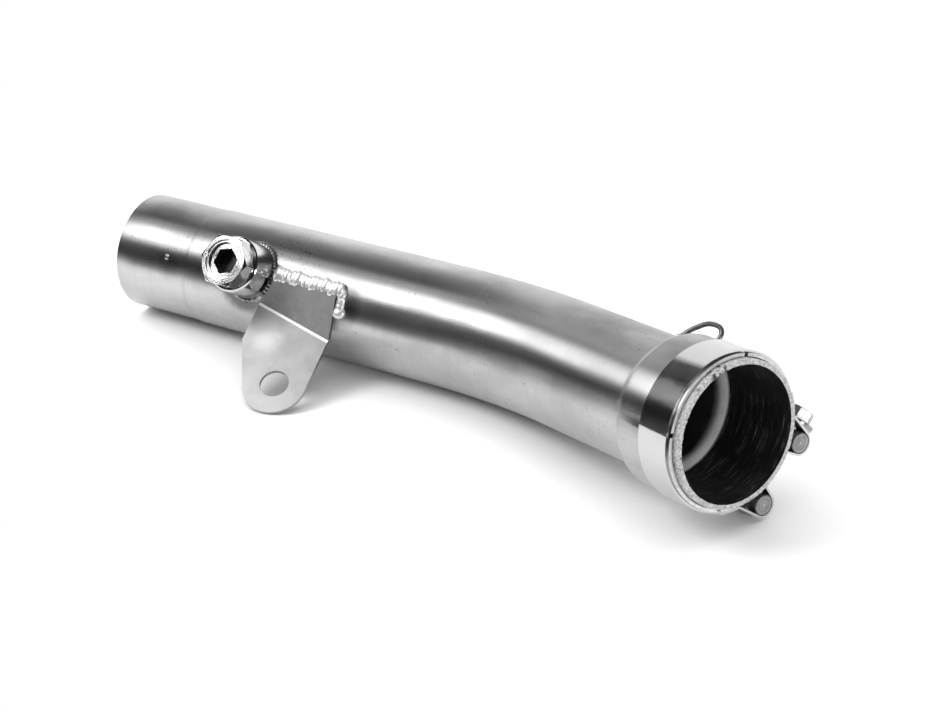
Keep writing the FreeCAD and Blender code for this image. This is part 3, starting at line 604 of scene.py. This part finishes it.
def slotCutter(size):
    cutters = []
    start = layout["outletLength"] - size["slotLength"]
    reach = size["slotLength"] + size["slotPastMouth"]
    for index in range(size["slotCount"]):
        bpy.ops.mesh.primitive_cube_add(size=1)
        slot = bpy.context.object
        slot.scale = (reach, size["slotWidth"], size["slotDepth"])
        slot.location = (start + reach / 2, 0, size["swageRadius"])
        bpy.ops.object.transform_apply()
        bpy.ops.mesh.primitive_cylinder_add(
            vertices=32, radius=size["slotRelief"], depth=size["slotDepth"],
            location=(start, 0, size["swageRadius"]),
        )
        relief = bpy.context.object
        bpy.ops.object.transform_apply()
        cutWith(slot, relief, "UNION")
        placeIn(slot, outletInBend() @ turnX(index * 2 * math.pi / size["slotCount"]))
        cutters.append(slot)
    return joinPieces(cutters)


# Where a point of the tube's wall would be if the tube were straight
def unrolled(point):
    x, y, z = point
    straight = layout["straight"]
    radius = layout["bendRadius"]
    bend = layout["bendAngle"]
    if x <= straight:
        return x, y, z
    turn = math.atan2(x - straight, y + radius)
    if turn <= bend:
        return straight + radius * turn, math.hypot(x - straight, y + radius) - radius, z
    local = outletInBend().inverted() @ Vector(point)
    return straight + radius * bend + local.x, local.y, local.z


def smoothStep(share):
    return share * share * (3 - 2 * share)


def drawInlet(size):
    place = 0.0
    rest = size["inletLength"] - size["inletStep"] - sum(size["inletRings"])
    for step in (*size["inletRings"], rest):
        drawOut((step, 0, 0))
        place += step
    growth = (size["radius"] / size["inletRadius"]) ** (1 / size["growSteps"])
    for _ in range(size["growSteps"]):
        step = 2 * size["inletStep"] / size["growSteps"]
        drawOut((step, 0, 0))
        place += step
        scaleRing(growth, (place, 0, 0))
    for _ in range(size["straightRings"]):
        drawOut(((layout["straight"] - place) / size["straightRings"], 0, 0))


def drawOutlet(size):
    outlet = outletInBend()
    along = outlet.to_3x3() @ Vector((1, 0, 0))
    for _ in range(2):
        drawOut(along * size["flareStart"] / 2)
    place = size["flareStart"]
    step = (size["flareEnd"] - size["flareStart"]) / size["flareSteps"]
    radius = size["radius"]
    for index in range(size["flareSteps"]):
        drawOut(along * step)
        place += step
        share = smoothStep((index + 1) / size["flareSteps"])
        grown = size["radius"] + (size["swageRadius"] - size["radius"]) * share
        scaleRing(grown / radius, outlet @ Vector((place, 0, 0)))
        radius = grown
    for _ in range(2):
        drawOut(along * (layout["outletLength"] - size["flareEnd"]) / 2)


def portCutter(size):
    bpy.ops.mesh.primitive_cylinder_add(
        vertices=64, radius=size["portRadius"], depth=size["portDepth"],
        location=(0, -size["radius"], 0), rotation=(math.pi / 2, 0, 0),
    )
    port = bpy.context.object
    bpy.ops.object.transform_apply()
    placeIn(port, bendPlace.inverted() @ bossPlace)
    return port


# Where each vertex would be on a straight tube, and which way the tube runs there
def writeTubeAttributes(tube):
    places = tube.data.attributes.new("straight", "FLOAT_VECTOR", "POINT")
    ways = tube.data.attributes.new("along", "FLOAT_VECTOR", "POINT")
    lift = bendPlace.to_3x3()
    for vert in tube.data.vertices:
        place = unrolled(vert.co)
        turn = (place[0] - layout["straight"]) / layout["bendRadius"]
        turn = min(max(turn, 0), layout["bendAngle"])
        places.data[vert.index].vector = place
        ways.data[vert.index].vector = lift @ Vector((math.cos(turn), -math.sin(turn), 0))


def makeTube():
    size = tubeSizes
    bpy.ops.mesh.primitive_circle_add(
        vertices=size["ring"], radius=size["inletRadius"], rotation=(0, math.pi / 2, 0)
    )
    tube = bpy.context.object
    bpy.ops.object.transform_apply()
    editPiece(tube)
    bpy.ops.mesh.select_all(action="SELECT")
    drawInlet(size)
    bpy.ops.mesh.spin(
        steps=size["bendSteps"],
        angle=layout["bendAngle"],
        center=(layout["straight"], -layout["bendRadius"], 0),
        axis=(0, 0, 1),
    )
    drawOutlet(size)
    leaveEdit()
    face = tube.data.polygons[0]
    if face.normal.dot(Vector((0, face.center.y, face.center.z))) < 0:   # inside out
        editPiece(tube)
        bpy.ops.mesh.select_all(action="SELECT")
        bpy.ops.mesh.flip_normals()
        leaveEdit()
    for material in (steelTube, shadedBore, plain["cutRim"]):
        tube.data.materials.append(material)
    applyModifier(tube, "SOLIDIFY", thickness=size["wall"], offset=-1, material_offset=1)
    cutWith(tube, slotCutter(size))
    cutWith(tube, portCutter(size))
    applyModifier(tube, "BEVEL", width=size["rimRound"], segments=2, limit_method="ANGLE",
                  angle_limit=math.radians(50))
    writeTubeAttributes(tube)
    bend = layout["bendRadius"] * layout["bendAngle"]
    mouth = layout["straight"] + bend + layout["outletLength"]
    for face in tube.data.polygons:
        along = unrolled(face.center)[0]
        if along < size["rimRound"] or along > mouth - size["rimRound"]:
            face.material_index = rimMaterial
    placeIn(tube, bendPlace)
    smoothShade(tube, 35)
    return settle(tube, "bent_tube", None, "tube_steel", "tube")


# Pieces that keep the solid's form and get rounded edges
pointMerge = {
    "usual": 0.000002,
    "bracket": 0.00005,   # a sliver where the leg is cut round the boss
}
flatWithin = math.radians(0.6)   # facets of one flat face become one again


def dressNode(node, name, material, slotName, edge, angle=32):
    piece = bpy.data.objects.new(name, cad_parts[node].data.copy())
    bpy.context.scene.collection.objects.link(piece)
    editPiece(piece)
    bpy.ops.mesh.select_all(action="SELECT")
    bpy.ops.mesh.remove_doubles(threshold=pointMerge.get(node, pointMerge["usual"]))
    bpy.ops.mesh.dissolve_limited(angle_limit=flatWithin)
    leaveEdit()
    if edge:
        applyModifier(piece, "BEVEL", width=edge, segments=2, limit_method="ANGLE",
                      angle_limit=math.radians(angle), use_clamp_overlap=True)
    smoothShade(piece, angle)
    if edge:
        keepFlats(piece)
    settle(piece, name, material, slotName, node)
    for place, test, second in otherFaces.get(node, ()):
        piece.data.materials.append(second)
        back = place.inverted()
        for face in piece.data.polygons:
            if test(back @ face.center, back.to_3x3() @ face.normal):
                face.material_index = len(piece.data.materials) - 1
    return piece


# Faces picked by their centre and normal, in the boss's place and in the leg's
socketFloor = {"radius": 0.0072, "face": -0.0518, "facing": 0.5}
legFaces = {
    "sideFacing": 0.7,
    "sideBottom": -0.016,
    "sideFront": -0.036,
    "frontFacing": -0.998,
    "foldFrom": -0.997,
    "foldTo": -0.778,
    "foldAcross": 0.6,
    "foldUp": 0.05,
}


# The floor of the plug's socket, which gets painted shade
def inSocket(centre, normal):
    area = socketFloor
    inside = centre.y > area["face"] and math.hypot(centre.x, centre.z) < area["radius"]
    return inside and abs(normal.y) > area["facing"]


# The leg's right-hand cut edge, which gets painted shade
def onLegSide(centre, normal):
    area = legFaces
    inside = centre.z > area["sideBottom"] and centre.y > area["sideFront"]
    return inside and normal.x > area["sideFacing"]


def onLegFront(centre, normal):
    return normal.y < legFaces["frontFacing"]


# Between the leg's way out and the tab's: the fold, which gets a painted highlight
def onFold(centre, normal):
    area = legFaces
    turned = area["foldFrom"] < normal.y < area["foldTo"]
    return turned and abs(normal.x) < area["foldAcross"] and normal.z > area["foldUp"]


# Node: place that the test looks from, test, material of the faces it picks
otherFaces = {
    "sensor_plug": ((bossPlace, inSocket, plain["shadedSocket"]),),
    "bracket": (
        (legPlace, onLegSide, plain["shadedLegSide"]),
        (legPlace, onLegFront, plain["litLegFront"]),
        (legPlace, onFold, plain["foldHighlight"]),
    ),
}


# Node, name of the piece, material, slot, width of the rounded edges
dressedNodes = (
    ("sensor_boss", "boss_barrel", bossSteel, "tube_steel", 0.0002),
    ("sensor_plug", "hex_plug", plugSteel, "plug_steel", 0.00025),
    ("plug_seal", "seal_ring", plain["sealMetal"], "seal_metal", 0.0003),
    ("bracket", "folded_tab", plain["plateSteel"], "plate_steel", 0.0003),
    ("hook_weld_rear", "hook_bead_rear", plain["weldSteel"], "weld_steel", 0),
    ("hook_weld_front", "hook_bead_front", plain["weldSteel"], "weld_steel", 0),
    ("clamp_band", "polished_strap", polishedBand, "band_steel", 0.00015),
    ("clamp_barrel_plain", "plain_barrel", plainPin, "screw_steel", 0.0001),
    ("clamp_barrel_threaded", "threaded_barrel", threadedPin, "screw_steel", 0.0001),
    ("clamp_screw", "hex_screw", plain["barSteel"], "screw_steel", 0.0002),
    ("clamp_washer", "flat_washer", plain["barSteel"], "screw_steel", 0.0002),
)


# Welds: beads of overlapping coins, run together.
# A coin holds the centre, heading, outward way and three radii of one ripple.
def weldBead(name, coins, voxel, node, material):
    bpy.ops.mesh.primitive_uv_sphere_add(segments=32, ring_count=20, radius=1)
    coin = bpy.context.object
    beads = []
    for centre, heading, outward, (wide, thick, long) in coins:
        bead = bpy.data.objects.new(name, coin.data.copy())
        bpy.context.scene.collection.objects.link(bead)
        ahead = heading.normalized()
        across = outward.cross(ahead).normalized()
        out = ahead.cross(across)
        lean = Matrix((across, out, ahead)).transposed().to_4x4()
        grow = Matrix.Diagonal((wide, thick, long, 1))
        bead.data.transform(Matrix.Translation(centre) @ lean @ grow)
        beads.append(bead)
    bpy.data.objects.remove(coin)
    bead = joinPieces(beads)
    bead.data.remesh_voxel_size = voxel
    bpy.ops.object.voxel_remesh()
    applyModifier(bead, "SMOOTH", factor=0.5, iterations=6)
    smoothShade(bead, 60)
    return settle(bead, name, material, "weld_steel", node)


bossBead = {
    "ring": 0.0145,
    "coins": 44,
    "radii": (0.0017, 0.0012, 0.0019),
    "sink": 0.0003,
    "lean": 0.25,
    "uneven": (0.9, 1.12),
    "voxel": 0.0002,
}


def makeBossBead():
    size = bossBead
    shake = random.Random(4)
    coins = []
    for index in range(size["coins"]):
        turn = 2 * math.pi * index / size["coins"]
        x = size["ring"] * math.cos(turn)
        z = size["ring"] * math.sin(turn)
        out = math.sqrt(tubeSizes["radius"] ** 2 - z * z) - size["sink"]
        centre = bossPlace @ Vector((x, -out, z))
        ahead = Vector((-math.sin(turn), -size["lean"], math.cos(turn)))
        away = Vector((math.cos(turn), -1, math.sin(turn)))
        turned = bossPlace.to_3x3()
        grown = shake.uniform(*size["uneven"])
        radii = [radius * grown for radius in size["radii"]]
        coins.append((centre, turned @ ahead, turned @ away, radii))
    return weldBead("boss_bead", coins, size["voxel"], "sensor_boss_weld", plain["burntWeld"])


# Centres in the leg's own place, and half sizes across, out of and along the row
bracketBead = {
    "rows": (
        ((0.1008, -0.0302, 0.0082), (0.1376, -0.0302, 0.0082), (0.0040, 0.0018, 0.0026)),
        ((0.1390, -0.0300, 0.0060), (0.1390, -0.0302, -0.0016), (0.0026, 0.0016, 0.0032)),
        ((0.1390, -0.0302, -0.0018), (0.1390, -0.0302, -0.0022), (0.0033, 0.0019, 0.0032)),
    ),
    "pitch": 0.0023,
    "lean": 0.35,
    "outShake": (-0.0001, 0.0002),
    "upShake": (-0.0004, 0.0004),
    "uneven": (0.92, 1.1),
    "voxel": 0.00022,
}


def makeBracketBead():
    size = bracketBead
    shake = random.Random(11)
    coins = []
    turned = legPlace.to_3x3()
    for start, end, radii in size["rows"]:
        start, end = Vector(start), Vector(end)
        run = end - start
        count = max(round(run.length / size["pitch"]), 1)
        for index in range(count + 1):
            centre = start + run * index / count
            out = shake.uniform(*size["outShake"])
            centre += Vector((0, out, shake.uniform(*size["upShake"])))
            heading = run.normalized() + Vector((0, -size["lean"], 0))
            grown = shake.uniform(*size["uneven"])
            coins.append((
                legPlace @ centre, turned @ heading, turned @ Vector((0, -1, 0.3)),
                [radius * grown for radius in radii],
            ))
    return weldBead("bracket_bead", coins, size["voxel"], "bracket_weld", plain["weldSteel"])


# Hook: a wire drawn through its bends, along the outlet and out from its axis
hookSizes = {
    "turn": math.radians(27),
    "wire": 0.0012,
    "bends": (
        (0.0520, 0.0288),
        (0.0592, 0.0368),
        (0.0682, 0.0411),
        (0.0752, 0.0386),
        (0.0729, 0.0303),
    ),
}


def makeHook():
    size = hookSizes
    bpy.ops.curve.primitive_bezier_curve_add(location=(0, 0, 0))
    hook = bpy.context.object
    points = hook.data.splines[0].bezier_points
    points.add(len(size["bends"]) - len(points))
    for point, (along, out) in zip(points, size["bends"]):
        point.co = (along, 0, out)
        point.handle_left_type = "AUTO"
        point.handle_right_type = "AUTO"
    hook.data.resolution_u = 14
    hook.data.bevel_depth = size["wire"]
    hook.data.bevel_resolution = 5
    hook.data.use_fill_caps = True
    makeActive(hook)
    bpy.ops.object.convert(target="MESH")
    hook = bpy.context.object
    placeIn(hook, outletPlace @ turnX(-size["turn"]))
    smoothShade(hook, 40)
    return settle(hook, "wire_hook", plain["wireSteel"], "wire_steel", "spring_hook")


# Gasket: a spun section with a crumbled front edge
gasketSizes = {
    "rear": 0.0742,
    "rearOuter": 0.0766,
    "front": 0.1129,
    "inner": 0.0306,
    "outer": 0.0329,
    "cuts": 9,
    "turns": 360,
    "crumble": 0.00032,
    "crumbleLength": 0.0035,
    "crumbSize": 0.0012,
    "skin": 0.0003,
    "frontRim": 0.0012,   # how far the pale front reaches into the bore
    "mouthRim": 0.001,    # and how far behind the tube's mouth
}


def makeGasket():
    size = gasketSizes
    bpy.ops.mesh.primitive_plane_add(size=1, rotation=(math.pi / 2, 0, 0))
    ring = bpy.context.object
    ring.scale = (size["front"] - size["rear"], size["outer"] - size["inner"], 1)
    ring.location = ((size["front"] + size["rear"]) / 2, 0, (size["outer"] + size["inner"]) / 2)
    bpy.ops.object.transform_apply()
    editPiece(ring)
    bpy.ops.mesh.select_all(action="SELECT")
    bpy.ops.mesh.subdivide(number_cuts=size["cuts"])
    bpy.ops.mesh.select_all(action="SELECT")
    bpy.ops.mesh.bisect(
        plane_co=(size["rearOuter"], 0, size["outer"]),
        plane_no=(size["inner"] - size["outer"], 0, size["rearOuter"] - size["rear"]),
        clear_outer=True,
    )
    leaveEdit()
    editPiece(ring, "EDGE")
    bpy.ops.mesh.select_all(action="SELECT")
    bpy.ops.mesh.region_to_loop()
    bpy.ops.mesh.select_all(action="INVERT")
    bpy.ops.mesh.delete(type="EDGE")
    bpy.ops.mesh.select_all(action="SELECT")
    bpy.ops.mesh.delete(type="ONLY_FACE")
    bpy.ops.mesh.select_all(action="SELECT")
    bpy.ops.mesh.spin(steps=size["turns"], angle=2 * math.pi, center=(0, 0, 0), axis=(1, 0, 0))
    bpy.ops.mesh.select_all(action="SELECT")
    bpy.ops.mesh.remove_doubles(threshold=0.00002)
    bpy.ops.mesh.normals_make_consistent(inside=False)
    leaveEdit()
    front = ring.vertex_groups.new(name="front")
    for vert in ring.data.vertices:
        share = 1 - (size["front"] - vert.co.x) / size["crumbleLength"]
        if share > 0:
            front.add([vert.index], share, "REPLACE")
    crumbs = bpy.data.textures.new("crumbs", "CLOUDS")
    crumbs.noise_scale = size["crumbSize"]
    crumbs.noise_depth = 3
    applyModifier(ring, "DISPLACE", texture=crumbs, strength=-size["crumble"] * 2, mid_level=0.35,
                  vertex_group="front")
    ring.data.materials.append(gasketMix)
    ring.data.materials.append(darkGraphite)
    boreEnd = size["front"] - size["frontRim"]
    coverEnd = layout["outletLength"] - size["mouthRim"]
    for face in ring.data.polygons:
        along = face.center.x
        radius = math.hypot(face.center.y, face.center.z)
        inside = radius < size["inner"] + size["skin"] and along < boreEnd
        outside = radius > size["outer"] - size["skin"] and along < coverEnd
        face.material_index = 1 if inside or outside else 0
    placeIn(ring, outletPlace)
    smoothShade(ring, 40)
    return settle(ring, "sleeve_ring", None, "gasket", "gasket_sleeve")


print("tube")
makeTube()
print("dressed nodes")
for node, name, material, slotName, edge in dressedNodes:
    dressNode(node, name, material, slotName, edge)
print("welds")
makeBossBead()
makeBracketBead()
print("hook and gasket")
makeHook()
makeGasket()


# Studio: pale floor and one large soft light at the left
studio = {
    "floorHeight": -0.03,
    "floorFront": -0.205,
    "floorBack": 1.6,
    "floorLeft": -0.32,
    "floorRight": 1.5,
    "floorGrey": 0.9,
    "softAim": (0.18, -0.02, 0),
    "softAzimuth": -51,
    "softElevation": 44,
    "softDistance": 1.1,
    "softWidth": 0.44,
    "softHeight": 0.52,
    "softPower": 6.3,
}


def makeFloor():
    size = studio
    bpy.ops.mesh.primitive_plane_add(size=1)
    floor = bpy.context.object
    width = size["floorRight"] - size["floorLeft"]
    floor.scale = (width, size["floorBack"] - size["floorFront"], 1)
    floor.location = (
        (size["floorRight"] + size["floorLeft"]) / 2,
        (size["floorBack"] + size["floorFront"]) / 2,
        size["floorHeight"],
    )
    bpy.ops.object.transform_apply()
    floor.name = "paleFloor"
    material, _, surface = newMaterial("paleFloor", Roughness=0.9)
    grey = size["floorGrey"]
    surface.inputs["Base Color"].default_value = (grey, grey, grey, 1)
    surface.inputs["Specular IOR Level"].default_value = 0.0
    floor.data.materials.append(material)


def aimLamp(azimuth, elevation, distance, centre):
    azimuth = math.radians(azimuth)
    elevation = math.radians(elevation)
    toward = Vector((
        math.sin(azimuth) * math.cos(elevation),
        -math.cos(azimuth) * math.cos(elevation),
        math.sin(elevation),
    ))
    bpy.ops.object.light_add(type="AREA", location=Vector(centre) + toward * distance)
    lamp = bpy.context.object
    lamp.rotation_mode = "QUATERNION"
    lamp.rotation_quaternion = toward.to_track_quat("Z", "Y")
    lamp.visible_camera = False


def makeSoftLight():
    size = studio
    aimLamp(size["softAzimuth"], size["softElevation"], size["softDistance"], size["softAim"])
    lamp = bpy.context.object
    lamp.data.shape = "RECTANGLE"
    lamp.data.size = size["softWidth"]
    lamp.data.size_y = size["softHeight"]
    lamp.data.energy = size["softPower"]


# A small lamp that looks into the mouth
mouthLamp = {
    "aim": (0.36, -0.06, 0.02),
    "azimuth": 62,
    "elevation": 14,
    "distance": 0.9,
    "width": 0.2,
    "power": 2.8,
}


def makeMouthLamp():
    size = mouthLamp
    aimLamp(size["azimuth"], size["elevation"], size["distance"], size["aim"])
    lamp = bpy.context.object
    lamp.data.size = size["width"]
    lamp.data.energy = size["power"]


def alongDirection(tree, direction, way):
    node = addNode(tree, "ShaderNodeVectorMath", operation="DOT_PRODUCT")
    tree.links.new(direction, node.inputs[0])
    node.inputs[1].default_value = way
    return node.outputs["Value"]


# What shiny surfaces see: a pale wall behind, a pale ceiling toward the front, a dark room.
# What dull surfaces get: a fill from above and behind. The camera sees white.
roomLook = {
    "dark": 0.015,
    "wall": 1.3,
    "wallEnds": ((0.32, -0.6, 0.7), (-0.309, -0.951, 0)),   # ways past which it stops
    "wallEdge": (-0.12, -0.02),
    "overhead": 1.25,
    "overheadHeight": (0.84, 0.92),
    "overheadFront": (0.0, 0.12),
    "fillWay": (-0.3, 0.35, 0.88),
    "fillEdge": (0.15, 0.95),
    "fillLow": 0.2,
    "fillHigh": 1.85,
}


def roomLight(tree, direction):
    look = roomLook
    top, side = [alongDirection(tree, direction, way) for way in look["wallEnds"]]
    pastWall = maths(tree, "MAXIMUM", top, side)
    wall = maths(
        tree, "MULTIPLY", ramp(tree, pastWall, *look["wallEdge"], 1.0, 0.0), look["wall"]
    )
    height = alongDirection(tree, direction, (0, 0, 1))
    toFront = alongDirection(tree, direction, (0, -1, 0))
    overhead = maths(
        tree, "MULTIPLY",
        ramp(tree, height, *look["overheadHeight"]),
        ramp(tree, toFront, *look["overheadFront"]),
    )
    overhead = maths(tree, "MULTIPLY", overhead, look["overhead"])
    return maths(tree, "ADD", maths(tree, "ADD", wall, overhead), look["dark"])


def fillLight(tree, direction):
    look = roomLook
    toSky = alongDirection(tree, direction, look["fillWay"])
    return ramp(tree, toSky, *look["fillEdge"], look["fillLow"], look["fillHigh"])


def makeWorld():
    world = bpy.data.worlds.new("studioRoom")
    bpy.context.scene.world = world
    world.use_nodes = True
    tree = world.node_tree
    tree.nodes.clear()
    direction = addNode(tree, "ShaderNodeTexCoord").outputs["Generated"]
    path = addNode(tree, "ShaderNodeLightPath")
    shiny = addNode(tree, "ShaderNodeMix", data_type="FLOAT")
    tree.links.new(path.outputs["Is Glossy Ray"], shiny.inputs["Factor"])
    tree.links.new(fillLight(tree, direction), shiny.inputs["A"])
    tree.links.new(roomLight(tree, direction), shiny.inputs["B"])
    seen = addNode(tree, "ShaderNodeMix", data_type="FLOAT")
    seen.inputs["B"].default_value = 1.0
    tree.links.new(path.outputs["Is Camera Ray"], seen.inputs["Factor"])
    tree.links.new(shiny.outputs["Result"], seen.inputs["A"])
    background = addNode(tree, "ShaderNodeBackground", Color=(1, 1, 1, 1))
    tree.links.new(seen.outputs["Result"], background.inputs["Strength"])
    output = addNode(tree, "ShaderNodeOutputWorld")
    tree.links.new(background.outputs["Background"], output.inputs["Surface"])


cameraView = {
    "place": (0.64965, -0.75207, 0.41579),
    "tilt": math.radians(90 - 26.06),
    "turn": math.radians(30.96),
    "lens": 76.04,
    "sensor": 36,
}


def makeCamera():
    bpy.ops.object.camera_add(
        location=cameraView["place"], rotation=(cameraView["tilt"], 0, cameraView["turn"])
    )
    camera = bpy.context.object
    camera.data.lens = cameraView["lens"]
    camera.data.sensor_width = cameraView["sensor"]
    camera.data.clip_start = 0.01
    bpy.context.scene.camera = camera


print("studio")
makeFloor()
makeSoftLight()
makeMouthLamp()
makeWorld()
makeCamera()
bpy.context.scene.view_settings.view_transform = "Standard"
